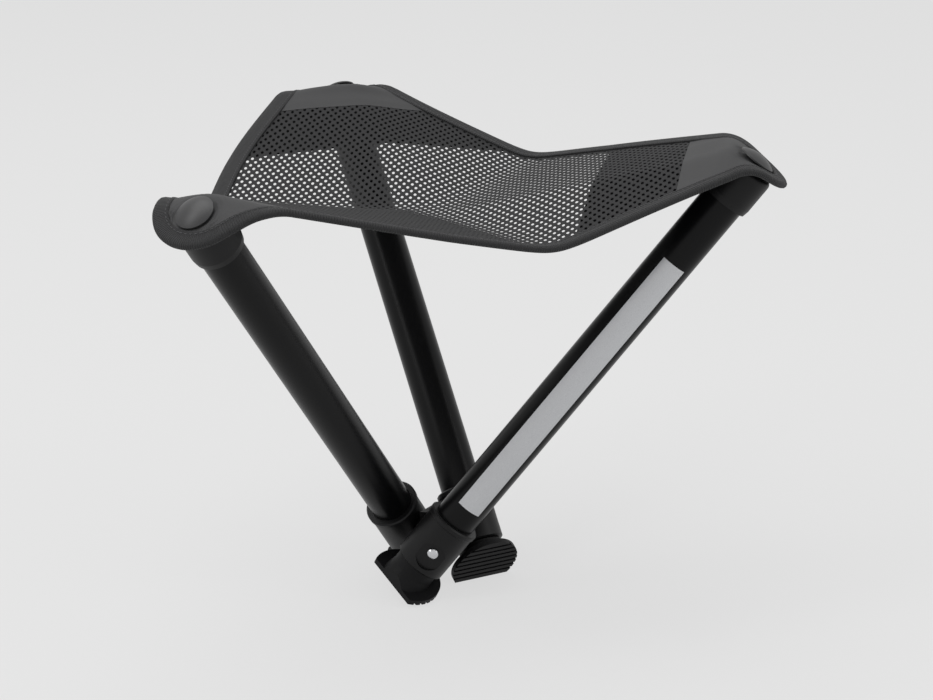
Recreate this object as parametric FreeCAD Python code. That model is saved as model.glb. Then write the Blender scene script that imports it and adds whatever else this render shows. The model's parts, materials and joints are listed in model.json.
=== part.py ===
import FreeCAD
import Part

import os
from math import atan2, cos, degrees, exp, hypot, log, pi, radians, sin, sqrt, tan

from FreeCAD import Matrix, Placement, Rotation, Vector

# Folding tripod stool, shown open on its retracted legs. Millimetres, +Z up.
# The origin is on the floor, under the hub's axis. The front right leg's pivot faces -Y.

# The three legs: node suffix, direction of the pivot about +Z, and how far the foot is turned
# about its tube from the pivot's direction, both in degrees.
LEGS = (("1", -90.0, 140.0), ("2", 30.0, 270.0), ("3", 150.0, 140.0))
LEG_LEAN = 38.0
LEG_OFFSET = 24.0

# Upper tubes, from the height of the pivot along the leg
TUBE_R = 12.5
TUBE_WALL = 1.2
TUBE_BOTTOM = 6.0
TUBE_TOP = 286.0

# Top collars, which close the tubes and carry the seat
COLLAR_R = 14.8
COLLAR_FOOT_R = 14.2
COLLAR_GRIP = 20.0
COLLAR_CROWN = 4.0
COLLAR_ROUND = 3.6
COLLAR_BOSS_R = 9.0
COLLAR_BOSS = 3.0
PLUG_DEPTH = 10.0
COLLAR_FIT = 0.03
COLLAR_CLOTH_FIT = 0.05

# Seat discs, screwed through the fabric into the collars
DISC_R = 10.6
DISC_EDGE = 0.8
DISC_DOME = 3.2
DISC_SHANK_R = 2.5
DISC_SHANK_DEPTH = 11.0
DISC_SEAT = 0.05

# Joint sleeves, at the lower ends of the upper tubes
SLEEVE_R = 15.3
SLEEVE_BOTTOM = -14.0
SLEEVE_TOP = 20.5
SLEEVE_RIM = 0.7
SLEEVE_RIM_HEIGHT = 3.0
SLEEVE_EDGE = 0.8
BOSS_R = 8.2

# Thumb rest and lock button on the outer side of each sleeve
THUMB_R = 8.5
THUMB_DROP = 2.2
THUMB_FLOOR = 13.2
BUTTON_R = 3.3
BUTTON_PROUD = 2.6
BUTTON_FLANGE_R = 4.6
BUTTON_FLANGE = 0.8
BUTTON_INNER_GAP = 0.5
BUTTON_FIT = 0.06

# Hub, pivot pins and washers
HUB_FACE = 5.4
HUB_BELOW = 11.0
HUB_ABOVE = 13.0
HUB_CAP_R = 4.6
HUB_CAP_HEIGHT = 2.0
PIN_R = 3.5
PIN_ROOT = 2.2
PIN_HEAD_R = 5.5
PIN_HEAD = 1.8
PIN_FIT = 0.05
WASHER_R = 7.6
WASHER_THICK = 0.8
WASHER_GAP = 0.1

# Telescopic inner tubes and their guide caps
INNER_R = 10.8
INNER_WALL = 1.2
INNER_FIT = 0.06
GUIDE_FLANGE = 4.0
GUIDE_ROOM = 4.0
GUIDE_SPIGOT = 12.0
GUIDE_FIT = 0.06
LEG_TRAVEL = 224.0
LOCK_HOLE_R = 5.0

# Rubber feet, with a round sloping sole that is cut off straight at the toe
FOOT_NECK_R = 13.2
FOOT_NECK_GAP = 0.5
FOOT_SOLE_DROP = 28.0
FOOT_TILT = 22.0
FOOT_R = 21.0
FOOT_FLANGE = 3.4
FOOT_FLARE_R = 19.0
FOOT_SOCKET_FLOOR = 3.0
FOOT_SPIGOT = 12.0
FOOT_FIT = 0.05
RIB_PITCH = 4.0
RIB_GROOVE = 1.5
RIB_DEPTH = 1.2

# Blank metal label on the first leg
LABEL_HALF_ANGLE = 34.5
LABEL_BOTTOM = 34.0
LABEL_TOP = 222.0
LABEL_THICK = 0.12
LABEL_FIT = 0.03

# Seat fabric. It falls from the corners to its centre, with a shallow valley to the middle of each side.
# Its edges bulge between the corners, more towards the side with the longer pull.
SEAT_CENTRE_DROP = 34.0
SIDE_SLOPE = 0.024
SPINE_SOFT = 6.0
VALLEY_SOFT = 3.0
SEAT_TWIST = 2.0
RIDGE_INSET = 11.5
RIDGE_ROUND = 10.0
EDGE_BULGE = 9.0
EDGE_SKEW = 3.0
CORNER_R = 30.0
CORNER_BACK = 8.0
CORNER_DEPTH = 40.0
HEM_WIDTH = 10.0
MESH_THICK = 1.4
CORNER_THICK = 2.0
HEM_THICK = 3.0
SEAM_GAP = 0.3
CENTRE_GAP = 3.0
SHANK_HOLE_FIT = 0.2

LEAN = radians(LEG_LEAN)
UP = Vector(0, 0, 1)
TUBE_BORE_R = TUBE_R - TUBE_WALL
INNER_BORE_R = INNER_R - INNER_WALL
SLEEVE_BORE_R = INNER_R + INNER_FIT

# Heights along the leg that follow the tube's top
COLLAR_BOTTOM = TUBE_TOP - COLLAR_GRIP
COLLAR_END = TUBE_TOP + COLLAR_CROWN
PLUG_END = TUBE_TOP - PLUG_DEPTH
INNER_TOP = PLUG_END - GUIDE_ROOM - GUIDE_FLANGE

# The first and third legs stand on the round edges of their soles and the second on its toe, which
# is cut off where both reach the same depth.
SOLE_TILT = radians(FOOT_TILT)
EDGE_TURN = radians(LEGS[0][2])
EDGE_DROP = FOOT_R * hypot(sin(EDGE_TURN) * cos(SOLE_TILT) * sin(LEAN) - sin(SOLE_TILT) * cos(LEAN),
                           cos(EDGE_TURN) * sin(LEAN))
FOOT_TOE = EDGE_DROP / sin(LEAN + SOLE_TILT)
HUB_HEIGHT = FOOT_SOLE_DROP * cos(LEAN) + EDGE_DROP

# Places of the seat's corners
FABRIC_MID = COLLAR_END + COLLAR_BOSS + DISC_SEAT + CORNER_THICK * cos(LEAN) / 2
CORNER_REACH = hypot(LEG_OFFSET, FABRIC_MID * sin(LEAN))
CORNER_TURN = atan2(LEG_OFFSET, FABRIC_MID * sin(LEAN))
CORNER_Z = HUB_HEIGHT + FABRIC_MID * cos(LEAN)
RIDGE_AT = CORNER_REACH - RIDGE_INSET
SEAT_CENTRE_Z = CORNER_Z - SEAT_CENTRE_DROP
CORNER_FLAT = RIDGE_AT + RIDGE_INSET / cos(LEAN) - CORNER_BACK
SEAT_APOTHEM = CORNER_FLAT / 2 + CORNER_R
STRAIGHT_END = CORNER_FLAT + CORNER_R / 2
CORNER_START = CORNER_REACH - CORNER_DEPTH


class LegFrame:
    """Directions of one leg: r along its pivot, e towards its lean, u up its tube."""

    def __init__(self, turn):
        a = radians(turn)
        self.r = Vector(cos(a), sin(a), 0)
        self.t = UP.cross(self.r)
        self.u = self.t * sin(LEAN) + UP * cos(LEAN)
        self.e = self.t * cos(LEAN) - UP * sin(LEAN)
        self.c = self.t * cos(CORNER_TURN) + self.r * sin(CORNER_TURN)
        self.side = UP.cross(self.c)
        base = self.r * LEG_OFFSET + UP * HUB_HEIGHT
        self.place = placement(self.r, self.e, self.u, base)


def placement(x, y, z, base):
    """Placement whose axes are x, y and z."""
    return Placement(Matrix(
        x.x, y.x, z.x, base.x,
        x.y, y.y, z.y, base.y,
        x.z, y.z, z.z, base.z,
        0, 0, 0, 1))


FRAMES = [LegFrame(turn) for _, turn, _ in LEGS]


def lathe(points):
    """Solid turned about Z from (radius, height) points."""
    outline = Part.makePolygon([Vector(r, 0, z) for r, z in points + points[:1]])
    return Part.Face(outline).revolve(Vector(0, 0, 0), UP, 360)


def rod(radius, start, end, along=UP):
    """Cylinder along a direction, from start to end measured from the origin."""
    return Part.makeCylinder(radius, end - start, along * start, along)


def save(shape, node, place=None):
    """Write one node, moved to its place."""
    if place is not None:
        shape = shape.copy()
        shape.Placement = place.multiply(shape.Placement)
    if len(shape.Solids) != 1 or not shape.isValid():
        raise ValueError(f"{node}: {len(shape.Solids)} solids, valid {shape.isValid()}")
    shape.Solids[0].exportStep(f"parts/{node}.step")
    print(f"{node}: {shape.Volume / 1000:.2f} cm3")


def upper_tube():
    """Black tube of one leg."""
    return rod(TUBE_R, TUBE_BOTTOM, TUBE_TOP).cut(rod(TUBE_BORE_R, TUBE_BOTTOM, TUBE_TOP))


def top_collar(frame):
    """Moulded cap over the tube's end, with a plug in the tube, dished for the fabric on it."""
    bore = TUBE_R + COLLAR_FIT
    plug = TUBE_BORE_R - COLLAR_FIT
    hole = DISC_SHANK_R + COLLAR_FIT
    profile = [
        (bore, COLLAR_BOTTOM), (COLLAR_FOOT_R, COLLAR_BOTTOM),
        (COLLAR_R, COLLAR_BOTTOM + COLLAR_ROUND), (COLLAR_R, COLLAR_END),
        (COLLAR_BOSS_R, COLLAR_END), (COLLAR_BOSS_R, COLLAR_END + COLLAR_BOSS),
        (hole, COLLAR_END + COLLAR_BOSS), (hole, PLUG_END), (plug, PLUG_END),
        (plug, TUBE_TOP + COLLAR_FIT), (bore, TUBE_TOP + COLLAR_FIT)]
    cap = lathe(profile)
    rim = [e for e in cap.Edges if abs(e.BoundBox.ZMin - COLLAR_END) < 1e-6
           and abs(e.BoundBox.XMax - COLLAR_R) < 1e-6]
    fabric = sheet(corner_rows(frame), CORNER_THICK + 2 * COLLAR_CLOTH_FIT, COLLAR_BOSS)
    fabric.Placement = frame.place.inverse()
    return cap.makeFillet(COLLAR_ROUND, rim).cut(fabric)


def seat_disc():
    """Domed disc that clamps the fabric, with its shank."""
    base = FABRIC_MID + CORNER_THICK * cos(LEAN) / 2 + DISC_SEAT
    ball_r = (DISC_R ** 2 + DISC_DOME ** 2) / (2 * DISC_DOME)
    ball = Part.makeSphere(ball_r, Vector(0, 0, base + DISC_EDGE + DISC_DOME - ball_r))
    dome = ball.common(rod(DISC_R, base + DISC_EDGE, base + DISC_EDGE + DISC_DOME))
    shank = rod(DISC_SHANK_R, COLLAR_END - DISC_SHANK_DEPTH, base)
    return dome.fuse(rod(DISC_R, base, base + DISC_EDGE)).fuse(shank).removeSplitter()


def thumb_rest():
    """Cutter for the flat thumb rest around the lock button."""
    rest = rod(THUMB_R, THUMB_FLOOR, SLEEVE_R + SLEEVE_RIM, Vector(1, 0, 0))
    rest.translate(Vector(0, 0, -THUMB_DROP))
    return rest


def pin_seat():
    """Distance from the hub's axis to the inner face of the pin's head."""
    return LEG_OFFSET - SLEEVE_BORE_R - PIN_FIT - PIN_HEAD


def joint_sleeve():
    """Moulded sleeve: holds the upper tube, guides the inner tube and turns on the hub's pin."""
    seat = TUBE_R + COLLAR_FIT
    rim_r = SLEEVE_R + SLEEVE_RIM
    rim_z = SLEEVE_TOP - SLEEVE_RIM_HEIGHT
    body = lathe([
        (SLEEVE_BORE_R, SLEEVE_BOTTOM), (SLEEVE_R - SLEEVE_EDGE, SLEEVE_BOTTOM),
        (SLEEVE_R, SLEEVE_BOTTOM + SLEEVE_EDGE), (SLEEVE_R, rim_z - SLEEVE_RIM),
        (rim_r, rim_z), (rim_r, SLEEVE_TOP - SLEEVE_EDGE),
        (rim_r - SLEEVE_EDGE, SLEEVE_TOP), (seat, SLEEVE_TOP),
        (seat, TUBE_BOTTOM - COLLAR_FIT), (SLEEVE_BORE_R, TUBE_BOTTOM - COLLAR_FIT)])
    hubward = Vector(-1, 0, 0)
    boss_end = LEG_OFFSET - HUB_FACE - WASHER_THICK - WASHER_GAP
    boss = rod(BOSS_R, SLEEVE_BORE_R, boss_end, hubward)
    bore = rod(SLEEVE_BORE_R, SLEEVE_BOTTOM, TUBE_BOTTOM)
    socket = rod(seat, TUBE_BOTTOM - COLLAR_FIT, SLEEVE_TOP)
    boss = boss.cut(bore).cut(socket)
    pin_hole = rod(PIN_R + PIN_FIT, 0, LEG_OFFSET, hubward)
    head_hole = rod(PIN_HEAD_R + PIN_FIT, 0, LEG_OFFSET - pin_seat() + PIN_FIT, hubward)
    button_hole = rod(BUTTON_R + BUTTON_FIT, 0, SLEEVE_R, Vector(1, 0, 0))
    flange_hole = rod(BUTTON_FLANGE_R + BUTTON_FIT, 0, button_back() + BUTTON_FLANGE + BUTTON_FIT,
                      Vector(1, 0, 0))
    body = body.fuse(boss).removeSplitter()
    for cutter in (thumb_rest(), pin_hole, head_hole, button_hole, flange_hole):
        body = body.cut(cutter)
    return body


def button_back():
    """Distance from the tube's axis to the back of the lock button."""
    return INNER_R + BUTTON_INNER_GAP


def lock_button():
    """Sprung metal button with a domed end and a flange that keeps it in the sleeve."""
    back = button_back()
    out = Vector(1, 0, 0)
    end = THUMB_FLOOR + BUTTON_PROUD
    stem = rod(BUTTON_R, back, end, out)
    dome = stem.common(Part.makeSphere(BUTTON_R * 1.25, out * (end - BUTTON_R * 1.25)))
    stem = rod(BUTTON_R, back, end - BUTTON_R, out).fuse(dome)
    return stem.fuse(rod(BUTTON_FLANGE_R, back, back + BUTTON_FLANGE, out)).removeSplitter()


def inner_tube(foot_turn):
    """Telescopic tube with a lock hole for each end of its travel."""
    tube = rod(INNER_R, foot_tube_end(), INNER_TOP)
    tube = tube.cut(rod(INNER_BORE_R, foot_tube_end(), INNER_TOP))
    stowed = rod(LOCK_HOLE_R, 0, INNER_R + INNER_WALL, Vector(1, 0, 0))
    pulled_out = stowed.copy()
    pulled_out.rotate(Vector(0, 0, 0), UP, foot_turn - 90.0)
    pulled_out.translate(UP * LEG_TRAVEL)
    return tube.cut(stowed).cut(pulled_out)


def guide_cap():
    """Plastic cap on the inner tube's top, which slides in the upper tube."""
    flange = rod(TUBE_BORE_R - GUIDE_FIT, INNER_TOP + FOOT_FIT, INNER_TOP + GUIDE_FLANGE)
    spigot = rod(INNER_BORE_R - GUIDE_FIT, INNER_TOP - GUIDE_SPIGOT, INNER_TOP + GUIDE_FLANGE)
    return flange.fuse(spigot).removeSplitter()


def foot_tube_end():
    """Height of the inner tube's lower end, above the sole at its heel side."""
    return -FOOT_SOLE_DROP + INNER_R * tan(SOLE_TILT) + FOOT_SOCKET_FLOOR


def sole_frame(drop):
    """Placement of a plane parallel to the sole: X to the heel, Y across, Z into the foot."""
    heel = Vector(cos(SOLE_TILT), 0, sin(SOLE_TILT))
    inward = Vector(-sin(SOLE_TILT), 0, cos(SOLE_TILT))
    return placement(heel, Vector(0, 1, 0), inward, Vector(0, 0, -drop))


def sole_outline():
    """Outline of the sole: a circle with a straight toe."""
    toe = Vector(-FOOT_TOE, sqrt(FOOT_R ** 2 - FOOT_TOE ** 2), 0)
    heel = Vector(FOOT_R, 0, 0)
    other_toe = Vector(toe.x, -toe.y, 0)
    return Part.Face(Part.Wire([
        Part.makeLine(other_toe, toe), Part.Arc(toe, heel, other_toe).toShape()]))


def rubber_foot():
    """Rubber boot: round neck, flared bell, flat ribbed sole and a spigot in the tube."""
    top = SLEEVE_BOTTOM - FOOT_NECK_GAP
    low = -FOOT_SOLE_DROP - FOOT_R
    bell = lathe([(0, top), (FOOT_NECK_R, top), (FOOT_NECK_R, foot_tube_end()),
                  (FOOT_FLARE_R, low), (0, low)])
    outline = sole_outline()
    block = outline.extrude(UP * (2 * FOOT_SOLE_DROP))
    flange = outline.extrude(UP * FOOT_FLANGE)
    for shape in (block, flange):
        shape.Placement = sole_frame(FOOT_SOLE_DROP)
    foot = bell.common(block).fuse(flange).removeSplitter()
    for groove in sole_grooves():
        foot = foot.cut(groove)
    socket = rod(INNER_R + FOOT_FIT, foot_tube_end() - FOOT_FIT, 0)
    spigot = rod(INNER_BORE_R - FOOT_FIT, foot_tube_end() - FOOT_FIT, foot_tube_end() + FOOT_SPIGOT)
    return foot.cut(socket).fuse(spigot).removeSplitter()


def sole_grooves():
    """Grooves between the sole's ribs, parallel to the toe."""
    count = int((FOOT_TOE + FOOT_R) / RIB_PITCH)
    grooves = []
    for k in range(1, count):
        groove = Part.makeBox(RIB_GROOVE, 2 * FOOT_R, RIB_DEPTH,
                              Vector(k * RIB_PITCH - FOOT_TOE - RIB_GROOVE / 2, -FOOT_R, 0))
        groove.Placement = sole_frame(FOOT_SOLE_DROP)
        grooves.append(groove)
    return grooves


def metal_label():
    """Blank metal label round the outer side of the first upper tube."""
    inner = TUBE_R + LABEL_FIT
    sheet = Part.makeCylinder(inner + LABEL_THICK, LABEL_TOP - LABEL_BOTTOM,
                              UP * LABEL_BOTTOM, UP, 2 * LABEL_HALF_ANGLE)
    sheet.rotate(Vector(0, 0, 0), UP, -LABEL_HALF_ANGLE)
    return sheet.cut(rod(inner, LABEL_BOTTOM, LABEL_TOP))


def hub_core():
    """Three-sided post between the sleeves, with a hole for each pivot pin."""
    corner = 2 * HUB_FACE
    points = []
    for frame in FRAMES:
        points.append(frame.r * -corner)
    ring = Part.makePolygon([points[0], points[1], points[2], points[0]])
    core = Part.Face(ring).extrude(UP * (HUB_BELOW + HUB_ABOVE))
    core.translate(UP * (HUB_HEIGHT - HUB_BELOW))
    for frame in FRAMES:
        hole = rod(PIN_R + COLLAR_FIT, PIN_ROOT - COLLAR_FIT, corner, frame.r)
        hole.translate(UP * HUB_HEIGHT)
        core = core.cut(hole)
    return core


def hub_cap():
    """Low domed cap on the hub's top."""
    base = HUB_HEIGHT + HUB_ABOVE
    ball_r = (HUB_CAP_R ** 2 + HUB_CAP_HEIGHT ** 2) / (2 * HUB_CAP_HEIGHT)
    ball = Part.makeSphere(ball_r, UP * (base + HUB_CAP_HEIGHT - ball_r))
    return ball.common(rod(HUB_CAP_R, base, base + HUB_CAP_HEIGHT))


def pivot_pin():
    """Headed pin from the hub into one sleeve, along +X from the hub's axis."""
    out = Vector(1, 0, 0)
    seat = pin_seat()
    return rod(PIN_R, PIN_ROOT, seat, out).fuse(
        rod(PIN_HEAD_R, seat, seat + PIN_HEAD, out)).removeSplitter()


def pivot_washer():
    """Thin washer between a face of the hub and a sleeve's boss, along +X from the hub's axis."""
    out = Vector(1, 0, 0)
    end = HUB_FACE + WASHER_THICK
    return rod(WASHER_R, HUB_FACE, end, out).cut(rod(PIN_R + PIN_FIT, HUB_FACE, end, out))


def seat_height(x, y):
    """Height of the fabric's middle layer: falls to the centre, bent down over each collar."""
    place = Vector(x, y, 0)
    half = CORNER_REACH / 2
    lift = RIDGE_INSET * tan(LEAN) * cos(CORNER_TURN) + SEAT_CENTRE_DROP
    roof = 0
    for frame in FRAMES:
        across = hypot(place.dot(frame.side), SPINE_SOFT) - SPINE_SOFT
        slope = lift / RIDGE_AT * place.dot(frame.c) - SIDE_SLOPE * across
        roof += exp(slope / VALLEY_SOFT) / len(FRAMES)
    height = SEAT_CENTRE_Z + VALLEY_SOFT * log(roof)
    for frame in FRAMES:
        far = min(max(place.dot(frame.c) / half - 1, 0), 1)
        side = min(max(place.dot(frame.side) / CORNER_R, -1), 1)
        height += far * SEAT_TWIST * side
    for frame in FRAMES:
        over = CORNER_Z - tan(LEAN) * (place - frame.c * CORNER_REACH).dot(frame.t)
        near = max(RIDGE_ROUND - abs(over - height), 0) / RIDGE_ROUND
        height = min(over, height) - near * near * RIDGE_ROUND / 4
    return height


def sheet(rows, thick, room=0.0):
    """Closed solid of a fabric piece from rows of plan points, thick measured upright.

    A room is the free space over the fabric that is added to the solid.
    """
    def layer(offset):
        return [[Vector(p.x, p.y, seat_height(p.x, p.y) + offset) for p in row] for row in rows]

    top = layer(thick / 2 + room)
    low = layer(-thick / 2)
    faces = []
    for k in range(len(rows) - 1):
        for j in range(len(rows[0]) - 1):
            for grid, turn in ((top, 1), (low, -1)):
                quad = [grid[k][j], grid[k + 1][j], grid[k + 1][j + 1], grid[k][j + 1]]
                faces += two_triangles(quad[::turn])
    rim = [(k, 0) for k in range(len(rows))]
    rim += [(len(rows) - 1, j) for j in range(1, len(rows[0]))]
    rim += [(k, len(rows[0]) - 1) for k in range(len(rows) - 2, -1, -1)]
    rim += [(0, j) for j in range(len(rows[0]) - 2, 0, -1)]
    for here, after in zip(rim, rim[1:] + rim[:1]):
        quad = [top[here[0]][here[1]], low[here[0]][here[1]],
                low[after[0]][after[1]], top[after[0]][after[1]]]
        faces += two_triangles(quad)
    solid = Part.Solid(Part.Shell(faces))
    if solid.Volume < 0:
        solid.reverse()
    return solid


def two_triangles(quad):
    """The two triangular faces of four corners, without one that has no area."""
    faces = []
    for corners in ((quad[0], quad[1], quad[2]), (quad[0], quad[2], quad[3])):
        if (corners[1] - corners[0]).cross(corners[2] - corners[0]).Length > 1e-6:
            faces.append(Part.Face(Part.makePolygon(list(corners) + [corners[0]])))
    return faces


def plan_of(flat):
    """Plan distance from the centre of a distance measured along the fabric."""
    if flat <= RIDGE_AT:
        return flat
    return RIDGE_AT + (flat - RIDGE_AT) * cos(LEAN)


def side_middle(inset):
    """Distance from the centre, along a corner's line, of the middle of a side."""
    return (SEAT_APOTHEM - inset + EDGE_BULGE) / 2


def edge_half_width(flat, hand, inset=0.0):
    """Half the fabric's width at a distance from the centre, up to a line inside its edge."""
    middle = side_middle(0.0)
    along = min(max((flat - middle) / (STRAIGHT_END - middle), 0), 1)
    bulge = EDGE_BULGE * cos(pi / 2 * along) ** 2 + hand * EDGE_SKEW * sin(pi * along)
    return (SEAT_APOTHEM + bulge - inset - flat / 2) / cos(radians(30))


def spread(start, end, count):
    """Evenly spaced values from start to end."""
    return [start + (end - start) * k / (count - 1) for k in range(count)]


def mesh_panel(frame, hand):
    """Half of one corner's mesh, from the seat's centre line to its hem."""
    middle = side_middle(HEM_WIDTH)
    reach = CORNER_START - SEAM_GAP
    rows = []
    for p in spread(CENTRE_GAP, middle, 5) + spread(middle, reach, 6)[1:]:
        wide = min(p * tan(radians(60)) - SEAM_GAP, edge_half_width(p, hand, HEM_WIDTH))
        rows.append([frame.c * p + frame.side * (hand * q) for q in spread(SEAM_GAP / 2, wide, 6)])
    return sheet(rows, MESH_THICK)


def seat_hem(frame, hand):
    """Bound edge of one half of a corner, from the middle of the side to the corner piece."""
    rows = []
    for inset in (HEM_WIDTH - SEAM_GAP, 0.0):
        row = []
        for p in spread(side_middle(inset) + SEAM_GAP, CORNER_START - SEAM_GAP, 9):
            row.append(frame.c * p + frame.side * (hand * edge_half_width(p, hand, inset)))
        rows.append(row)
    return sheet(rows, HEM_THICK)


def corner_rows(frame):
    """Rows of plan points over one corner of the seat."""
    flats = spread(CORNER_START, RIDGE_AT - RIDGE_ROUND, 4)
    flats += spread(RIDGE_AT - RIDGE_ROUND, STRAIGHT_END, 8)[1:]
    points_across = 9
    flats += [CORNER_FLAT + CORNER_R * sin(radians(a)) for a in (45, 60, 74, 84)]
    rows = []
    for flat in flats:
        if flat <= STRAIGHT_END:
            ends = (-edge_half_width(flat, -1), edge_half_width(flat, 1))
        else:
            wide = sqrt(CORNER_R ** 2 - (flat - CORNER_FLAT) ** 2)
            ends = (-wide, wide)
        rows.append([frame.c * plan_of(flat) + frame.side * q for q in spread(*ends, points_across)])
    return rows


def corner_piece(frame):
    """Solid corner of the seat, bent over the collar and clamped by the disc."""
    hole = rod(DISC_SHANK_R + SHANK_HOLE_FIT, COLLAR_END, FABRIC_MID + CORNER_THICK)
    hole.Placement = frame.place
    if plan_of(CORNER_FLAT + CORNER_R) < CORNER_REACH:
        raise ValueError("the corner piece stops short of its disc")
    return sheet(corner_rows(frame), CORNER_THICK).cut(hole)


def main():
    os.makedirs("parts", exist_ok=True)
    save(hub_core(), "hub_core")
    save(hub_cap(), "hub_cap")
    save(metal_label(), "metal_label", FRAMES[0].place)
    for (name, turn, foot_turn), frame in zip(LEGS, FRAMES):
        pivot = Placement(UP * HUB_HEIGHT, Rotation(UP, turn))
        turned = frame.place.multiply(Placement(Vector(), Rotation(UP, foot_turn)))
        save(pivot_pin(), f"pivot_pin_{name}", pivot)
        save(pivot_washer(), f"pivot_washer_{name}", pivot)
        save(upper_tube(), f"upper_tube_{name}", frame.place)
        save(top_collar(frame), f"top_collar_{name}", frame.place)
        save(seat_disc(), f"seat_disc_{name}", frame.place)
        save(joint_sleeve(), f"joint_sleeve_{name}", frame.place)
        save(lock_button(), f"lock_button_{name}", frame.place)
        save(guide_cap(), f"guide_cap_{name}", frame.place)
        save(inner_tube(foot_turn), f"inner_tube_{name}", frame.place)
        save(rubber_foot(), f"rubber_foot_{name}", turned)
        save(corner_piece(frame), f"seat_corner_{name}")
        for side, hand in (("a", 1), ("b", -1)):
            save(mesh_panel(frame, hand), f"seat_mesh_{name}{side}")
            save(seat_hem(frame, hand), f"seat_hem_{name}{side}")
    print(f"hub height {HUB_HEIGHT:.2f}, corner reach {CORNER_REACH:.2f}, corner z {CORNER_Z:.2f}")
    print(f"corner turn {degrees(CORNER_TURN):.2f}, toe {FOOT_TOE:.2f} from the tube's axis")


main()
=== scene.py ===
# %% [markdown]
# # Folding tripod stool
# The CAD part gives the tubes, sleeves, hub and feet at their real size. This script gives them their
# finishes and makes the seat as cloth: an open knitted mesh, smooth corner pieces, a dark lining, a ribbed
# binding round the edge and its stitching. Every new piece is a surface worked out with numpy and handed to
# Blender as a mesh.

# %% Load the CAD frame
import json
import math

import bpy
import numpy as np
from mathutils import Matrix, Vector


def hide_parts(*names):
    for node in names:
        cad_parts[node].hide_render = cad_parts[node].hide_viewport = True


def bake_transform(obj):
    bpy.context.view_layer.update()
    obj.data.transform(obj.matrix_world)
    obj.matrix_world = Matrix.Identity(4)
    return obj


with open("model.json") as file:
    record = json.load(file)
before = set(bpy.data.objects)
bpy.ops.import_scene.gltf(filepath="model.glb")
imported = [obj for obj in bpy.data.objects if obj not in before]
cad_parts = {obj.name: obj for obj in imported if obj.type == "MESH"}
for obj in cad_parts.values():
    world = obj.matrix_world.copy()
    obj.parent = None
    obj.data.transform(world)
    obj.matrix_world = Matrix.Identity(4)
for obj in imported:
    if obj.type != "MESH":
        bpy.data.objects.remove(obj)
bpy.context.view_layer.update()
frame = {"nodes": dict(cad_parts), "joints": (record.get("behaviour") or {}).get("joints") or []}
MM = 0.001

# %% [markdown]
# ## Sizes of the seat
# They repeat the part's own sizes, in millimetres, so that the cloth lies where its solids are. Only the b
# half of each corner hangs a little lower at its edge than its plain solid does. Those that end in FLAT are
# measured along the cloth, from the seat's centre.

# %% Seat sizes
LEAN = math.radians(38.0)
LEG_OFFSET = 24.0
PIVOT_TURNS = {"1": -90.0, "2": 30.0, "3": 150.0}
HANDS = {"a": 1, "b": -1}
HUB_HEIGHT = frame["joints"][0]["pos_m"][2] / MM
COLLAR_TOP = 293.05
CORNER_THICK = 2.0
FABRIC_MID = COLLAR_TOP + CORNER_THICK * math.cos(LEAN) / 2
CENTRE_DROP = 34.0
SIDE_SLOPES = {"a": 0.024, "b": 0.16}
SPINE_SOFT = 6.0
VALLEY_SOFT = 3.0
TWIST = 2.0
RIDGE_INSET = 11.5
RIDGE_ROUND = 10.0
EDGE_BULGE = 9.0
EDGE_SKEW = 3.0
CORNER_R = 30.0
CORNER_BACK = 8.0
CORNER_DEPTH = 40.0
HEM_WIDTH = 10.0
CORNER_REACH = math.hypot(LEG_OFFSET, FABRIC_MID * math.sin(LEAN))
CORNER_TURN = math.atan2(LEG_OFFSET, FABRIC_MID * math.sin(LEAN))
CORNER_Z = HUB_HEIGHT + FABRIC_MID * math.cos(LEAN)
RIDGE_AT = CORNER_REACH - RIDGE_INSET
DISC_FLAT = RIDGE_AT + RIDGE_INSET / math.cos(LEAN)
CORNER_FLAT = DISC_FLAT - CORNER_BACK
SEAT_APOTHEM = CORNER_FLAT / 2 + CORNER_R
STRAIGHT_END = CORNER_FLAT + CORNER_R / 2
CORNER_START = CORNER_REACH - CORNER_DEPTH
EDGE_MIDDLE = (SEAT_APOTHEM + EDGE_BULGE) / 2
COS30 = math.cos(math.radians(30))
print("seat corners at", round(CORNER_REACH), "mm from the axis and", round(CORNER_Z), "mm up")

# %% [markdown]
# ## The seat's surface
# The real seat is one cloth, clamped at three corners and sagging between them. A cloth simulation could find
# its form, but a taut cloth has a form that can be read off and written down, and a formula lets every piece
# of the seat lie on the same surface.
# Each leg has three plan directions: t along its lean, c from the axis to its seat corner, side across that.
# The cloth falls from its corners to the centre, with a shallow valley from there to the middle of each side.
# It bends down over each collar and is pulled a little to one side.

# %% Directions of the legs
def unit(turn):
    """Plan direction at an angle in radians: its cosine and its sine."""
    return np.array([math.cos(turn), math.sin(turn)])


LEG_DIRECTIONS = {}
for leg, pivot_turn in PIVOT_TURNS.items():
    lean_turn = math.radians(pivot_turn) + math.pi / 2
    LEG_DIRECTIONS[leg] = {
        "t": unit(lean_turn),
        "c": unit(lean_turn - CORNER_TURN),
        "side": unit(lean_turn - CORNER_TURN + math.pi / 2)}
print("directions for legs", list(LEG_DIRECTIONS))


# %% Seat surface
NORMAL_STEP = 0.2


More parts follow.
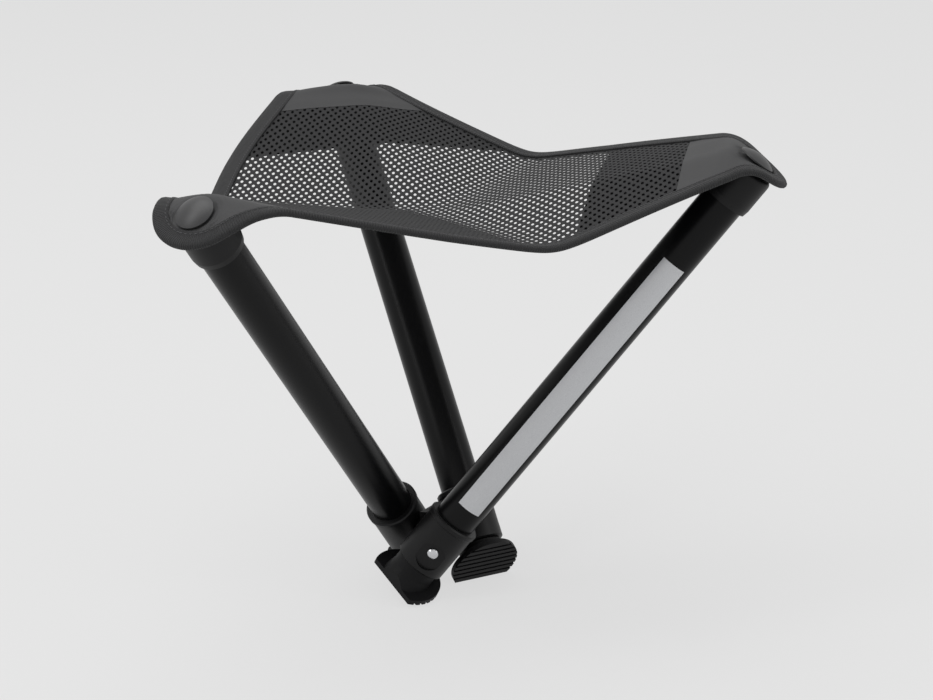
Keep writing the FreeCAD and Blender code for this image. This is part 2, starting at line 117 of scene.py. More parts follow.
def seat_height(xy):
    """Height of the cloth's middle layer over plan points, in millimetres.

    Each corner has a slope that rises along c and falls away from its spine. The cloth is the soft maximum of
    the three, the logarithm of the mean of their exponentials. Each corner is then twisted about c, and the
    soft minimum with the plane that leans over the collar bends its end down.
    """
    lift = RIDGE_INSET * math.tan(LEAN) * math.cos(CORNER_TURN) + CENTRE_DROP
    slopes = []
    for d in LEG_DIRECTIONS.values():
        beside = xy @ d["side"]
        across = np.hypot(beside, SPINE_SOFT) - SPINE_SOFT
        in_b = 0.5 - 0.5 * np.tanh(beside / (2 * SPINE_SOFT))
        side_slope = SIDE_SLOPES["a"] + (SIDE_SLOPES["b"] - SIDE_SLOPES["a"]) * in_b
        slopes.append(lift / RIDGE_AT * (xy @ d["c"]) - side_slope * across)
    roof = np.exp(np.array(slopes) / VALLEY_SOFT).mean(axis=0)
    height = CORNER_Z - CENTRE_DROP + VALLEY_SOFT * np.log(roof)
    for d in LEG_DIRECTIONS.values():
        far = np.clip(2 * (xy @ d["c"]) / CORNER_REACH - 1, 0, 1)
        height = height + far * TWIST * np.clip(xy @ d["side"] / CORNER_R, -1, 1)
    for d in LEG_DIRECTIONS.values():
        over = CORNER_Z - math.tan(LEAN) * ((xy - d["c"] * CORNER_REACH) @ d["t"])
        near = np.maximum(RIDGE_ROUND - abs(over - height), 0) / RIDGE_ROUND
        height = np.minimum(over, height) - near ** 2 * RIDGE_ROUND / 4
    return height


def on_cloth(xy, out=0.0):
    """Points of the cloth in millimetres, raised from its middle layer along the cloth's normal.

    The normal comes from the slopes along x and y, each a difference of two heights.
    """
    step_x = [NORMAL_STEP, 0]
    step_y = [0, NORMAL_STEP]
    slope_x = (seat_height(xy + step_x) - seat_height(xy - step_x)) / (2 * NORMAL_STEP)
    slope_y = (seat_height(xy + step_y) - seat_height(xy - step_y)) / (2 * NORMAL_STEP)
    normal = np.stack([-slope_x, -slope_y, np.ones_like(slope_x)], -1)
    normal /= np.linalg.norm(normal, axis=-1, keepdims=True)
    base = np.concatenate([xy, seat_height(xy)[..., None]], -1)
    return base + normal * np.asarray(out)[..., None]


print("seat centre", round(float(seat_height(np.zeros((1, 2)))[0])), "mm up")


# %% Seat outline
def half_width(flat, hand, inset=0.0):
    """Half the seat's width at a distance from its centre, up to a line inside its edge.

    The straight side of a triangle, with a cosine bulge at its middle and a sine skew towards one hand.
    """
    along = np.clip((flat - EDGE_MIDDLE) / (STRAIGHT_END - EDGE_MIDDLE), 0, 1)
    bulge = EDGE_BULGE * np.cos(math.pi / 2 * along) ** 2 + hand * EDGE_SKEW * np.sin(math.pi * along)
    return (SEAT_APOTHEM + bulge - inset - flat / 2) / COS30


def to_plan(leg, flat, across):
    """Plan points of distances measured along the cloth of one corner and across it.

    Past the ridge the cloth leans with the leg, so a length there covers less of the plan.
    """
    d = LEG_DIRECTIONS[leg]
    reach = np.where(flat <= RIDGE_AT, flat, RIDGE_AT + (flat - RIDGE_AT) * math.cos(LEAN))
    return reach[..., None] * d["c"] + across[..., None] * d["side"]


print("middles of a corner's two sides:", round(2 * float(half_width(EDGE_MIDDLE, 1))), "mm apart")

# %% [markdown]
# ## Finishes
# Blender works in linear colour, so colours are written as sRGB hex and turned to linear by one function.
# Image textures could give the grain, but noise needs no file, has no seams and is sized in real millimetres.
# Most grains here are finer than a pixel of the whole view, and show when the stool is seen closer.

# %% Material helpers
RAMP_ENDS = (0.3, 0.7)


def hex_colour(code):
    """Linear RGBA of an sRGB hex colour, by the sRGB curve."""
    parts = np.array([int(code[k:k + 2], 16) for k in (0, 2, 4)]) / 255
    linear = np.where(parts <= 0.04045, parts / 12.92, ((parts + 0.055) / 1.055) ** 2.4)
    return [*linear, 1.0]


def add_node(material, kind, links=(), **values):
    """New shader node with its properties or inputs set, and links from (socket, input name) pairs."""
    node = material.node_tree.nodes.new("ShaderNode" + kind)
    for name, value in values.items():
        if name in node.bl_rna.properties:
            setattr(node, name, value)
        else:
            node.inputs[name.replace("_", " ")].default_value = value
    for socket, name in links:
        material.node_tree.links.new(socket, node.inputs[name])
    return node


def new_material(name, code, rough, metal=0.0, **values):
    """Material with its Principled shader, which is returned too."""
    material = bpy.data.materials.new(name)
    material.use_nodes = True
    shader = material.node_tree.nodes["Principled BSDF"]
    shader.inputs["Base Color"].default_value = hex_colour(code)
    shader.inputs["Roughness"].default_value = rough
    shader.inputs["Metallic"].default_value = metal
    for key, value in values.items():
        shader.inputs[key.replace("_", " ")].default_value = value
    return material, shader


def grain(material, shader, size_mm, depth_mm, rough, colours=None):
    """Noise of a real size for a finish: bump, a spread of roughness and, if given, two colours."""
    links = material.node_tree.links
    place = add_node(material, "TexCoord")
    noise = add_node(material, "TexNoise", [(place.outputs["Object"], "Vector")],
                     Scale=1 / (size_mm * MM), Detail=3.0)
    spread = add_node(material, "MapRange", [(noise.outputs["Fac"], "Value")],
                      To_Min=rough[0], To_Max=rough[1])
    links.new(spread.outputs["Result"], shader.inputs["Roughness"])
    bump = add_node(material, "Bump", [(noise.outputs["Fac"], "Height")], Distance=depth_mm * MM)
    links.new(bump.outputs["Normal"], shader.inputs["Normal"])
    if colours:
        ramp = add_node(material, "ValToRGB", [(noise.outputs["Fac"], "Fac")])
        for element, position, code in zip(ramp.color_ramp.elements, RAMP_ENDS, colours):
            element.position = position
            element.color = hex_colour(code)
        links.new(ramp.outputs["Color"], shader.inputs["Base Color"])
    return bump


print("material helpers ready")

# %% [markdown]
# ## Hard finishes
# The stool is nearly all black, so its finishes are told apart by their sheen. Metal, plastic and rubber each
# get their own roughness and specular level, and only the pins, buttons and label are bright.

# %% Hard finishes
# Satin anodised aluminium: a dyed oxide skin, near black, with a soft narrow sheen along the tube
anodised, shader = new_material("satin_black_anodised", "0a0a0b", 0.3, Specular_IOR_Level=0.16)
grain(anodised, shader, 0.5, 0.004, (0.26, 0.36), ("080809", "0c0c0d"))
# Moulded plastic: black, with the fine texture of its mould, so its sheen is broader
moulded, shader = new_material("black_moulded_plastic", "0e0e0f", 0.36, Specular_IOR_Level=0.24)
grain(moulded, shader, 0.35, 0.02, (0.36, 0.5), ("0b0b0c", "121213"))
# Smooth grey plastic of the discs: clearly lighter than the sleeves
disc_plastic, shader = new_material("smooth_grey_plastic", "2e2e2f", 0.42)
grain(disc_plastic, shader, 0.6, 0.008, (0.38, 0.48), ("2a2a2b", "323233"))
# Moulded rubber: black and dull
rubber, shader = new_material("black_rubber", "111112", 0.5, Specular_IOR_Level=0.15)
grain(rubber, shader, 0.5, 0.03, (0.44, 0.6), ("0e0e0f", "151516"))
# Zinc plated steel: a grey metal with a slightly cloudy shine
zinc, shader = new_material("zinc_plated_steel", "b9bbbe", 0.35, 1.0)
grain(zinc, shader, 0.3, 0.004, (0.28, 0.45))
# Polished steel: a bright metal with a sharp glint
polished, shader = new_material("polished_steel", "c9cacc", 0.22, 1.0)
grain(polished, shader, 0.8, 0.002, (0.18, 0.28))
# Pale acetal of the guides inside the tubes: matt and a little waxy
pale_plastic, shader = new_material("pale_guide_plastic", "cfcfcb", 0.5)
grain(pale_plastic, shader, 0.4, 0.01, (0.45, 0.6))
# Lacquered metal foil of the label: silver, half metal and half lacquer to the eye
brushed, shader = new_material("brushed_label", "c6c7c9", 0.34, 0.55)
grain(brushed, shader, 0.25, 0.003, (0.28, 0.44), ("bcbdc0", "d0d1d3"))
print("hard finishes made")

# %% [markdown]
# ## Cloth finishes
# All the cloth is taken as polyester. Its threads scatter light, so it is rough and looks greyer than the
# black plastic. The binding's ribs follow the edge of the seat, so they read a UV map that measures along the
# edge in metres.

# %% Cloth finishes
# Knitted mesh: dark grey threads between the holes
knit, shader = new_material("black_knitted_mesh", "252526", 0.72, Specular_IOR_Level=0.25)
grain(knit, shader, 0.45, 0.12, (0.62, 0.82), ("1c1c1d", "2e2e2f"))
# Close weave of the corners: smooth and a little lighter than the mesh
woven, shader = new_material("close_woven_corner", "2f2f30", 0.66)
grain(woven, shader, 0.35, 0.05, (0.58, 0.76), ("272728", "373738"))
# Lining: black and dull, so the holes over it look dark
lining, shader = new_material("close_black_lining", "0b0b0c", 0.8, Specular_IOR_Level=0.1)
grain(lining, shader, 0.35, 0.05, (0.7, 0.9), ("080809", "0f0f10"))
# Ribbed tape: dark grey with fine ribs across it
binding, shader = new_material("ribbed_binding", "29292a", 0.66, Specular_IOR_Level=0.35)
soft = grain(binding, shader, 0.4, 0.04, (0.58, 0.76), ("222223", "313132"))
RIB_PITCH = 1.4
RIB_HEIGHT = 0.5
# The wave texture turns through 20 radians for each unit of its scaled coordinate
WAVE_RADIANS = 20
along_edge = add_node(binding, "UVMap", uv_map="edge")
ribs = add_node(binding, "TexWave", [(along_edge.outputs["UV"], "Vector")],
                bands_direction="X", Scale=2 * math.pi / (WAVE_RADIANS * RIB_PITCH * MM), Distortion=0.4)
rib_bump = add_node(binding, "Bump", [(ribs.outputs["Fac"], "Height"), (soft.outputs["Normal"], "Normal")],
                    Distance=RIB_HEIGHT * MM)
binding.node_tree.links.new(rib_bump.outputs["Normal"], shader.inputs["Normal"])
# Sewing thread: grey, a little lighter than the tape
thread, shader = new_material("stitch_thread", "404042", 0.6)
grain(thread, shader, 0.15, 0.05, (0.5, 0.7))
print("cloth finishes made")

# %% [markdown]
# ## Finishes of the CAD pieces
# Each CAD piece keeps its shape and takes the finish of its kind. A table by the start of the node's name
# does this for all three legs at once.

# %% Dress the CAD pieces
CAD_FINISHES = {
    "hub_core": moulded, "hub_cap": moulded, "metal_label": brushed, "pivot_pin": zinc,
    "pivot_washer": zinc, "upper_tube": anodised, "top_collar": moulded, "seat_disc": disc_plastic,
    "joint_sleeve": moulded, "lock_button": polished, "guide_cap": pale_plastic,
    "inner_tube": anodised, "rubber_foot": rubber}
for name, node in frame["nodes"].items():
    for kind, finish in CAD_FINISHES.items():
        if name.startswith(kind):
            node.data.materials.clear()
            node.data.materials.append(finish)
print("CAD kinds dressed:", len(CAD_FINISHES))

# %% [markdown]
# ## Cloth pieces
# The seat is one cloth on the real stool. Here it is cut along the lines it folds on, three from the centre
# to the corners and three to the middles of the sides, into one half on each side of each leg.

# %% Mesh helpers
SHARP_ANGLE = math.radians(50)


def new_piece(name, points, faces, finish):
    """Object from points in millimetres and faces, shaded smooth except at sharp edges."""
    mesh = bpy.data.meshes.new(name)
    mesh.from_pydata((np.asarray(points) * MM).tolist(), [], faces)
    mesh.update()
    mesh.materials.append(finish)
    mesh.polygons.foreach_set("use_smooth", np.ones(len(mesh.polygons), bool))
    mesh.set_sharp_from_angle(angle=SHARP_ANGLE)
    piece = bpy.data.objects.new(name, mesh)
    bpy.context.scene.collection.objects.link(piece)
    return piece


def grid_faces(rows, columns, closed=False):
    """Quads of a grid of points numbered row by row; closed joins its last column to its first."""
    k, j = np.meshgrid(np.arange(rows - 1), np.arange(columns - (not closed)), indexing="ij")
    after = (j + 1) % columns
    quads = np.stack([k * columns + j, k * columns + after,
                      (k + 1) * columns + after, (k + 1) * columns + j], -1)
    return quads.reshape(-1, 4)


def sheet_piece(name, top, low, rows, columns, hand, finish):
    """Closed sheet between two grids of points: both grids, and walls round their rim."""
    quads = grid_faces(rows, columns)
    count = rows * columns
    number = np.arange(count).reshape(rows, columns)
    rim = np.concatenate([number[0], number[1:, -1], number[-1, -2::-1], number[-2:0:-1, 0]])
    after = np.roll(rim, -1)
    walls = np.stack([after, rim, rim + count, after + count], -1)
    faces = np.concatenate([quads, quads[:, ::-1] + count, walls])
    if hand < 0:
        faces = faces[:, ::-1]
    return new_piece(name, np.concatenate([top, low]), faces.tolist(), finish)


print("mesh helpers ready")

# %% [markdown]
# ## Knitted mesh
# The seat's middle is an open knit. A see-through texture could draw its holes, but they would have no edges
# and would be lost in an export, so they are real. The holes stand in staggered rows over the whole seat. Each
# one has a six-sided cell of cloth round it, and every cell belongs to the half of the seat that its centre
# lies in.

# %% Holes and their cells
HOLE_PITCH = 4.8
HOLE_HALF = np.array([0.88, 1.7])
LATTICE_SHIFT = np.array([0.6, 0.9])
CELL_POINTS = 12
SEAT_SPAN = 200.0
COLUMN_COUNT = 60
cell_angles = np.arange(CELL_POINTS) * 2 * math.pi / CELL_POINTS
compass = np.stack([np.cos(cell_angles), np.sin(cell_angles)], -1)
cell_reach = np.where(np.arange(CELL_POINTS) % 2, HOLE_PITCH / math.sqrt(3), HOLE_PITCH / 2)
cell_rim = compass * cell_reach[:, None]
hole_rim = compass * HOLE_HALF
cell_crown = 0.5 * (cell_rim + hole_rim)
row_count = int(SEAT_SPAN / (HOLE_PITCH * COS30))
rows, columns = np.meshgrid(np.arange(-row_count, row_count + 1), np.arange(-COLUMN_COUNT, COLUMN_COUNT + 1),
                            indexing="ij")
lattice = np.stack([HOLE_PITCH * (columns + 0.5 * (rows % 2)), HOLE_PITCH * COS30 * rows], -1).reshape(-1, 2)
lattice += LATTICE_SHIFT
reach_to = {leg: lattice @ d["c"] for leg, d in LEG_DIRECTIONS.items()}
furthest = np.max(list(reach_to.values()), axis=0)
print("lattice points:", len(lattice))

# %% Mesh halves
MESH_OUT = 0.2
MESH_CROWN = 0.12
TUCK_UNDER = 3.0


def rim_walls(number, top, low):
    """Quads that close the outer edge of a half, where a cell has no neighbour: edges used only once."""
    here = number.reshape(-1)
    after = np.roll(number, -1, axis=1).reshape(-1)
    pairs = np.sort(np.stack([here, after], -1), axis=1)
    _, which, uses = np.unique(pairs, axis=0, return_inverse=True, return_counts=True)
    lone = uses[which.reshape(-1)] == 1
    return np.stack([after[lone] + top, here[lone] + top, here[lone] + low, after[lone] + low], -1)


def mesh_half(leg, side):
    """Perforated cloth of one half of a corner.

    Five rings round each hole, from the cell's rim over a crown, down through the hole and back to the rim.
    """
    hand = HANDS[side]
    reach = reach_to[leg]
    across = lattice @ LEG_DIRECTIONS[leg]["side"] * hand
    inside = (reach >= furthest) & (across > 0) & (reach < CORNER_START + TUCK_UNDER)
    inside &= across < half_width(reach, hand, HEM_WIDTH - TUCK_UNDER)
    centres = lattice[inside]
    count = len(centres)
    rim = (centres[:, None] + cell_rim).reshape(-1, 2)
    _, first, number = np.unique(np.round(rim, 2), axis=0, return_index=True, return_inverse=True)
    number = number.reshape(count, CELL_POINTS)
    rim = rim[first]
    crown = (centres[:, None] + cell_crown).reshape(-1, 2)
    hole = (centres[:, None] + hole_rim).reshape(-1, 2)
    layers = [(rim, MESH_OUT), (crown, MESH_OUT + MESH_CROWN), (hole, MESH_OUT / 2), (hole, -MESH_OUT / 2),
              (rim, -MESH_OUT)]
    points = np.concatenate([on_cloth(xy, np.full(len(xy), out)) for xy, out in layers])
    own = np.arange(count * CELL_POINTS).reshape(count, CELL_POINTS)
    starts = np.cumsum([0] + [len(xy) for xy, _ in layers])
    rings = [number + starts[0], own + starts[1], own + starts[2], own + starts[3], number + starts[4]]
    faces = []
    for outer, inner in zip(rings, rings[1:]):
        after_outer = np.roll(outer, -1, axis=1)
        after_inner = np.roll(inner, -1, axis=1)
        faces.append(np.stack([outer, after_outer, after_inner, inner], -1).reshape(-1, 4))
    faces.append(rim_walls(number, starts[0], starts[4]))
    piece = new_piece(f"mesh_cloth_{leg}{side}", points, np.concatenate(faces).tolist(), knit)
    return piece, count


mesh_pieces = {}
holes = 0
for leg in PIVOT_TURNS:
    for side in HANDS:
        mesh_pieces[leg + side], made = mesh_half(leg, side)
        holes += made
print("mesh halves:", len(mesh_pieces), "holes:", holes)

# %% [markdown]
# ## Smooth corners
# A close woven piece covers each corner, from the mesh over the collar to the tip. The disc pulls it down
# into a dimple with curved wrinkles round it. They could be sculpted, but a ring of sine waves round the disc
# gives such wrinkles from a few sizes, and the same ones on every run.

# %% Wrinkles of the corners
DISC_R = 10.6
FOLD_RING = 14.5
FOLD_SPREAD = 3.6
FOLD_PITCH = 2.6
FOLD_HEIGHT = 0.5
DIMPLE_DEPTH = 0.9
DIMPLE_SPREAD = 3.2
SWELL = 1.8
SWELL_BACK = 3.0
SWELL_WIDTH = 6.0


def corner_outline(hand, flat, inset):
    """Half width of a corner at a distance along the cloth: the seat's side, then the circle of the tip."""
    rounded = np.sqrt(np.maximum((CORNER_R - inset) ** 2 - (flat - CORNER_FLAT) ** 2, 0))
    turn_at = CORNER_FLAT + (CORNER_R - inset) / 2
    return np.where(flat < turn_at, half_width(flat, hand, inset), rounded)


def dimple(flat, across):
    """Height round the disc, in millimetres: sine folds in a soft ring, less a soft dip at the disc's edge.

    The folds wander with the angle about the disc, and so does their strength.
    """
    away = np.hypot(flat - DISC_FLAT, across)
    angle = np.arctan2(across, flat - DISC_FLAT)
    window = np.exp(-((away - FOLD_RING) / FOLD_SPREAD) ** 2)
    wander = 0.8 * np.sin(3 * angle)
    strength = 0.6 + 0.4 * np.sin(5 * angle + 1)
    folds = FOLD_HEIGHT * np.sin(2 * math.pi * away / FOLD_PITCH + wander) * strength
    return window * folds - DIMPLE_DEPTH * np.exp(-((away - DISC_R) / DIMPLE_SPREAD) ** 2)


def ridge_swell(flat, share):
    """Height of the soft roll that the clamped cloth makes inside the disc, none at its edges."""
    return SWELL * np.exp(-((flat - RIDGE_AT + SWELL_BACK) / SWELL_WIDTH) ** 2) * (1 - share ** 2)


print("wrinkles up to", FOLD_HEIGHT, "mm high round discs of", 2 * DISC_R, "mm")

# %% Corner halves
PATCH_ROWS = 64
PATCH_COLUMNS = 34
PATCH_OUT = 0.95
PATCH_RIM = 0.4
PATCH_TAPER = 9.0
TIP_GAP = 0.05


def corner_half(leg, side):
    """Closed sheet of half a corner: rows that close up to the tip, columns from the spine to the edge.

    Its inner rim is thinner, so that it meets the mesh without a step.
    """
    hand = HANDS[side]
    inset = HEM_WIDTH - TUCK_UNDER
    tip = CORNER_FLAT + CORNER_R - inset
    flat = CORNER_START + (tip - TIP_GAP - CORNER_START) * np.sin(np.linspace(0, math.pi / 2, PATCH_ROWS))
    share = np.linspace(0, 1, PATCH_COLUMNS)
    across = corner_outline(hand, flat, inset)[:, None] * share * hand
    flat = np.repeat(flat[:, None], PATCH_COLUMNS, axis=1)
    plan = to_plan(leg, flat, across)
    lift = dimple(flat, across) + ridge_swell(flat, share)
    grown = np.clip((flat - CORNER_START) / PATCH_TAPER, 0, 1)
    out = PATCH_RIM + (PATCH_OUT - PATCH_RIM) * grown ** 2 * (3 - 2 * grown)
    top = on_cloth(plan, lift + out).reshape(-1, 3)
    low = on_cloth(plan, lift - PATCH_OUT).reshape(-1, 3)
    return sheet_piece(f"corner_cloth_{leg}{side}", top, low, PATCH_ROWS, PATCH_COLUMNS, hand, woven)


corner_pieces = {leg + side: corner_half(leg, side) for leg in PIVOT_TURNS for side in HANDS}
print("corner halves:", len(corner_pieces))

# %% [markdown]
# ## Lining
# Under the mesh each corner has a close dark lining with a straight inner edge, which darkens the holes over
# it. It is a thin sheet on the same surface as the mesh, a little lower, so it needs no shape of its own.

# %% Lining
LINING_START = 92.0
LINING_SPAN = 1.0
LINING_OUT = -0.75
LINING_HALF = 0.15
LINING_ROWS = 22
LINING_COLUMNS = 18


def lining_half(leg, side):
    """Closed sheet under the mesh of half a corner: rows across the corner, from its inner edge outwards."""
    hand = HANDS[side]
    flat = np.linspace(LINING_START, CORNER_START + LINING_SPAN, LINING_ROWS)
    share = np.linspace(0, 1, LINING_COLUMNS)
    across = half_width(flat, hand, HEM_WIDTH - TUCK_UNDER)[:, None] * share * hand
    plan = to_plan(leg, np.repeat(flat[:, None], LINING_COLUMNS, axis=1), across)
    top, low = [on_cloth(plan, np.full(plan.shape[:-1], LINING_OUT + step)).reshape(-1, 3)
                for step in (LINING_HALF, -LINING_HALF)]
    return sheet_piece(f"lining_{leg}{side}", top, low, LINING_ROWS, LINING_COLUMNS, hand, lining)


lining_pieces = {leg + side: lining_half(leg, side) for leg in PIVOT_TURNS for side in HANDS}
print("lining halves:", len(lining_pieces))

# %% [markdown]
# ## Binding
# A ribbed tape is folded round the whole edge of the seat. A curve with a bevel could make it, but it would
# not lie flat on the cloth, so its profile is carried along the edge: each point of the profile has a distance
# inside the edge and a height over the cloth.

# %% Binding
HEM_PROFILE = np.array([
    (10.0, 0.2), (9.9, 1.2), (9.2, 1.65), (7.4, 1.5), (5.2, 1.75), (3.2, 1.95), (1.5, 1.75), (0.4, 1.0),
    (0.0, 0.0), (0.3, -1.2), (1.4, -2.0), (3.2, -2.2), (5.6, -1.8), (8.4, -1.4), (9.8, -1.1)])
EDGE_STEP = 1.6
SIDE_POINTS = 160
TIP_POINTS = 40


def edge_line(side):
    """The seat's edge from the middle of a side to the tip, in even steps, as distances along and across.

    The side of the seat, then the circle of the tip. The direction inwards is the edge's own, turned by a
    right angle. The lengths along the edge are given too.
    """
    flat = np.linspace(EDGE_MIDDLE, STRAIGHT_END, SIDE_POINTS)
    turn = np.radians(np.linspace(30, 90, TIP_POINTS)[1:])
    line = np.concatenate([
        np.stack([flat, half_width(flat, HANDS[side])], -1),
        np.stack([CORNER_FLAT + CORNER_R * np.sin(turn), CORNER_R * np.cos(turn)], -1)])
    lengths = np.concatenate([[0], np.cumsum(np.linalg.norm(np.diff(line, axis=0), axis=1))])
    even = np.linspace(0, lengths[-1], int(lengths[-1] / EDGE_STEP))
    line = np.stack([np.interp(even, lengths, line[:, k]) for k in (0, 1)], -1)
    along = np.gradient(line, axis=0)
    along /= np.linalg.norm(along, axis=1, keepdims=True)
    inward = np.stack([along[:, 1], -along[:, 0]], -1)
    inward[0] = (-0.5, -COS30)
    inward[-1] = (-1.0, 0.0)
    return line, inward, even


def along_hem(leg, side, inset, out):
    """Points on the cloth at a distance inside the seat's edge, raised from it."""
    line, inward, _ = edge_line(side)
    place = line[:, None] + inward[:, None] * np.atleast_1d(inset)[None, :, None]
    plan = to_plan(leg, place[..., 0], place[..., 1] * HANDS[side])
    return on_cloth(plan, np.broadcast_to(out, plan.shape[:-1]))


def binding_half(leg, side):
    """Tape round the edge of one half of a corner: the profile carried along the edge, with closed ends."""
    points = along_hem(leg, side, HEM_PROFILE[:, 0], HEM_PROFILE[:, 1])
    rows, columns = points.shape[:2]
    quads = grid_faces(rows, columns, closed=True)
    ends = [list(range(columns)), list(range(rows * columns - 1, (rows - 1) * columns - 1, -1))]
    faces = quads[:, ::-1].tolist() + ends
    if HANDS[side] > 0:
        faces = [face[::-1] for face in faces]
    piece = new_piece(f"binding_{leg}{side}", points.reshape(-1, 3), faces, binding)
    _, _, lengths = edge_line(side)
    uv = np.stack(np.broadcast_arrays(lengths[:, None], HEM_PROFILE[None, :, 0]), -1).reshape(-1, 2) * MM
    corner = np.zeros(len(piece.data.loops), int)
    piece.data.loops.foreach_get("vertex_index", corner)
    layer = piece.data.uv_layers.new(name="edge")
    layer.data.foreach_set("uv", uv[corner].ravel())
    return piece


binding_pieces = {leg + side: binding_half(leg, side) for leg in PIVOT_TURNS for side in HANDS}
print("binding halves:", len(binding_pieces))

# %% [markdown]
# ## Stitches
# The tape's inner edge is sewn down with a row of stitches. Each one is a small six-sided grain of thread,
# and one mesh holds a whole row, rather than hundreds of objects.

# %% Stitches
STITCH_PITCH = 3.0
STITCH_HALF = np.array([1.05, 0.28, 0.24])
STITCH_INSET = 8.3
STITCH_OUT = 1.62
STITCH_SIDES = 6
END_SIZE = 0.55
END_AT = np.array([0.85, 0, 0])
ring_turn = np.arange(STITCH_SIDES) * 2 * math.pi / STITCH_SIDES
ring = np.stack([np.zeros(STITCH_SIDES), np.cos(ring_turn), np.sin(ring_turn)], -1)
stitch_form = np.concatenate([ring * END_SIZE - END_AT, ring, ring * END_SIZE + END_AT]) * STITCH_HALF
stitch_faces = grid_faces(3, STITCH_SIDES, closed=True)
first_ring = np.arange(STITCH_SIDES)
stitch_caps = np.stack([first_ring[::-1], first_ring + 2 * STITCH_SIDES])


def stitch_row(leg, side):
    """Row of stitches along the binding's inner edge, each one the same form turned to the edge there."""
    line = along_hem(leg, side, STITCH_INSET, STITCH_OUT)[:, 0]
    above = along_hem(leg, side, STITCH_INSET, STITCH_OUT + 1)[:, 0]
    lengths = np.concatenate([[0], np.cumsum(np.linalg.norm(np.diff(line, axis=0), axis=1))])
    middles = np.arange(STITCH_PITCH / 2, lengths[-1], STITCH_PITCH)

    def at(values, where):
        """Points of a line at lengths along the edge."""
        return np.stack([np.interp(where, lengths, values[:, k]) for k in range(3)], -1)

    centre = at(line, middles)
    forward = at(line, middles + 0.5) - at(line, middles - 0.5)
    forward /= np.linalg.norm(forward, axis=1, keepdims=True)
    up = at(above, middles) - centre
    across = np.cross(up, forward)
    axes = np.stack([forward, across, up], 1)
    points = centre[:, None] + np.einsum("pk,nkj->npj", stitch_form, axes)
    starts = np.arange(len(middles))[:, None, None] * len(stitch_form)
    faces = (stitch_faces + starts).reshape(-1, 4).tolist()
    caps = (stitch_caps + starts).reshape(-1, STITCH_SIDES).tolist()
    return new_piece(f"stitches_{leg}{side}", points.reshape(-1, 3), faces + caps, thread)


stitch_pieces = {leg + side: stitch_row(leg, side) for leg in PIVOT_TURNS for side in HANDS}
print("stitch rows:", len(stitch_pieces))

# %% [markdown]
# ## The cloth in place of the seat's solids
# Every piece of a half keeps the place it was made in, under its disc, and the part's own seat solids are
# hidden.
# Half the surface of each closed sheet is printed, in square metres.


def follow_fold(piece):
    """Bakes the piece's placement into its mesh, so that it stays where it was made."""
    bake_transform(piece)


def measured_area(piece):
    """Half the surface of a closed sheet, in square metres."""
    areas = np.zeros(len(piece.data.polygons))
    piece.data.polygons.foreach_get("area", areas)
    return float(areas.sum() / 2)


for leg in PIVOT_TURNS:
    for side in HANDS:
        half = leg + side
        mesh_piece = mesh_pieces[half]
        corner_piece = corner_pieces[half]
        trim = [binding_pieces[half], stitch_pieces[half]]
        for piece in [mesh_piece, corner_piece, lining_pieces[half], *trim]:
            follow_fold(piece)
        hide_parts(f"seat_mesh_{half}")
        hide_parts(f"seat_hem_{half}")
        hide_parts(f"seat_corner_{leg}")
        sheets = (mesh_piece, corner_piece, lining_pieces[half])
        print(half, "mesh, corner and lining in m2:", [round(measured_area(piece), 5) for piece in sheets])

# %% [markdown]
# ## Floor and world
# The floor and the world are pale where the camera or a reflection sees them, by Light Path, and give only a
# plain level of light to the stool. Lighting the floor until it is white would wash out the black finishes.
# The floor glows only in part, so that it keeps the stool's shadow.

# %% Floor and world
FLOOR_HALF = 8.0
PALE = "e6e6e6"
FLOOR_GLOW = 0.8
FILL_STRENGTH = 0.55


def seen_directly(owner):
    """1 where the camera, a reflection or clear material sees a surface, 0 where it only gives light."""
    path = add_node(owner, "LightPath")
    mirror = add_node(owner, "Math", [(path.outputs["Is Camera Ray"], 0), (path.outputs["Is Glossy Ray"], 1)],
                      operation="MAXIMUM")
    clear = add_node(owner, "Math", [(mirror.outputs[0], 0), (path.outputs["Is Transmission Ray"], 1)],
                     operation="MAXIMUM")
    return clear.outputs[0]


floor_finish, shader = new_material("pale_floor", PALE, 0.9, Specular_IOR_Level=0.0)
glow = add_node(floor_finish, "Emission", Color=hex_colour(PALE), Strength=1.0)
share = add_node(floor_finish, "Math", [(seen_directly(floor_finish), 0)], operation="MULTIPLY")
share.inputs[1].default_value = FLOOR_GLOW
mixed = add_node(floor_finish, "MixShader",
                 [(share.outputs[0], 0), (shader.outputs[0], 1), (glow.outputs[0], 2)])
floor_output = floor_finish.node_tree.nodes["Material Output"]
floor_finish.node_tree.links.new(mixed.outputs[0], floor_output.inputs["Surface"])
floor_mesh = bpy.data.meshes.new("floor")
floor_mesh.from_pydata([(-FLOOR_HALF, -FLOOR_HALF, 0), (FLOOR_HALF, -FLOOR_HALF, 0),
                        (FLOOR_HALF, FLOOR_HALF, 0), (-FLOOR_HALF, FLOOR_HALF, 0)], [], [(0, 1, 2, 3)])
floor_mesh.materials.append(floor_finish)
floor = bpy.data.objects.new("floor", floor_mesh)
bpy.context.scene.collection.objects.link(floor)
world = bpy.data.worlds.new("studio")
bpy.context.scene.world = world
world.use_nodes = True
fill = world.node_tree.nodes["Background"]
fill.inputs["Color"].default_value = hex_colour("ffffff")
fill.inputs["Strength"].default_value = FILL_STRENGTH
pale = add_node(world, "Background", Color=hex_colour(PALE), Strength=1.0)
sky = add_node(world, "MixShader", [(seen_directly(world), 0), (fill.outputs[0], 1), (pale.outputs[0], 2)])
world.node_tree.links.new(sky.outputs[0], world.node_tree.nodes["World Output"].inputs["Surface"])
bpy.context.scene.view_settings.view_transform = "Standard"
print("floor", 2 * FLOOR_HALF, "m wide")

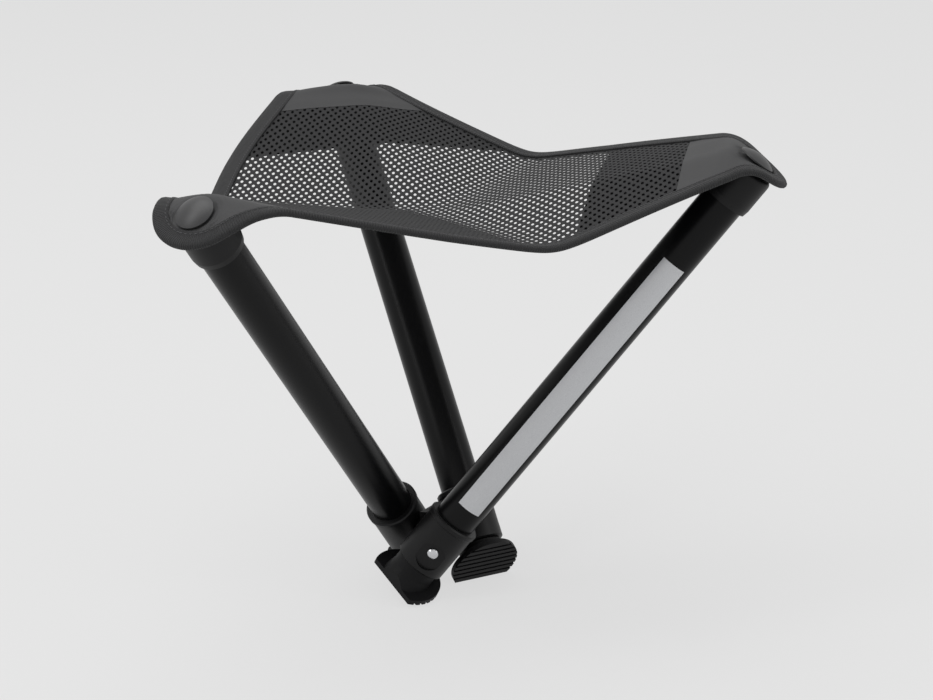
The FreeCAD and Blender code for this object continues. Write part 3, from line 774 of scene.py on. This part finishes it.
# %% [markdown]
# ## Lamps
# One large soft lamp hangs overhead. A narrow strip on each side draws the long sheen along the tubes, which
# a point lamp would show as small hard spots.

# %% Lamps
LIGHT_AIM = (0, 0, 0.15)


def soft_light(name, place, power, size):
    """Rectangular soft lamp, in metres and watts, that shines at the stool."""
    lamp = bpy.data.lights.new(name, "AREA")
    lamp.shape = "RECTANGLE"
    lamp.size, lamp.size_y = size
    lamp.energy = power
    light = bpy.data.objects.new(name, lamp)
    light.location = place
    light.rotation_euler = (Vector(place) - Vector(LIGHT_AIM)).to_track_quat("Z", "Y").to_euler()
    bpy.context.scene.collection.objects.link(light)
    return light


lamps = [soft_light("overhead", (-0.4, 0.3, 2.2), 16, (1.6, 1.6)),
         soft_light("left_strip", (-1.3, -0.7, 1.7), 10, (0.35, 1.4)),
         soft_light("right_strip", (1.7, -0.4, 1.0), 4, (0.4, 1.4))]
print("lamps:", [lamp.name for lamp in lamps])

# %% [markdown]
# ## Camera
# The photograph's viewpoint was found by fitting the tubes and the hub. Azimuth, elevation and roll turn the
# camera, and its place follows from the depth of the hub and the pixel that the hub is seen at.

# %% Camera
CAMERA_AZIMUTH = math.radians(2.721)
CAMERA_ELEVATION = math.radians(18.037)
CAMERA_ROLL = math.radians(-0.439)
CAMERA_FOCAL_PX = 2217.16
CAMERA_DEPTH = 1328.5
IMAGE_SIZE = (933.0, 700.0)
HUB_PIXEL = (436.43, 528.95)
back = np.array([math.sin(CAMERA_AZIMUTH) * math.cos(CAMERA_ELEVATION),
                 -math.cos(CAMERA_AZIMUTH) * math.cos(CAMERA_ELEVATION), math.sin(CAMERA_ELEVATION)])
level_right = np.cross(-back, [0, 0, 1.0])
level_right /= np.linalg.norm(level_right)
level_up = np.cross(back, level_right)
right = math.cos(CAMERA_ROLL) * level_right + math.sin(CAMERA_ROLL) * level_up
up = -math.sin(CAMERA_ROLL) * level_right + math.cos(CAMERA_ROLL) * level_up
aside = (HUB_PIXEL[0] - IMAGE_SIZE[0] / 2) / CAMERA_FOCAL_PX
below = (HUB_PIXEL[1] - IMAGE_SIZE[1] / 2) / CAMERA_FOCAL_PX
eye = (back - right * aside + up * below) * CAMERA_DEPTH + [0, 0, HUB_HEIGHT]
lens = bpy.data.cameras.new("photo_view")
lens.sensor_width = 36.0
lens.lens = CAMERA_FOCAL_PX * lens.sensor_width / IMAGE_SIZE[0]
lens.clip_end = 50.0
camera = bpy.data.objects.new("photo_view", lens)
pose = np.eye(4)
pose[:3, :3] = np.stack([right, up, back], 1)
pose[:3, 3] = eye * MM
camera.matrix_world = Matrix(pose.tolist())
bpy.context.scene.collection.objects.link(camera)
bpy.context.scene.camera = camera
print("camera at", [round(x * MM, 3) for x in eye])
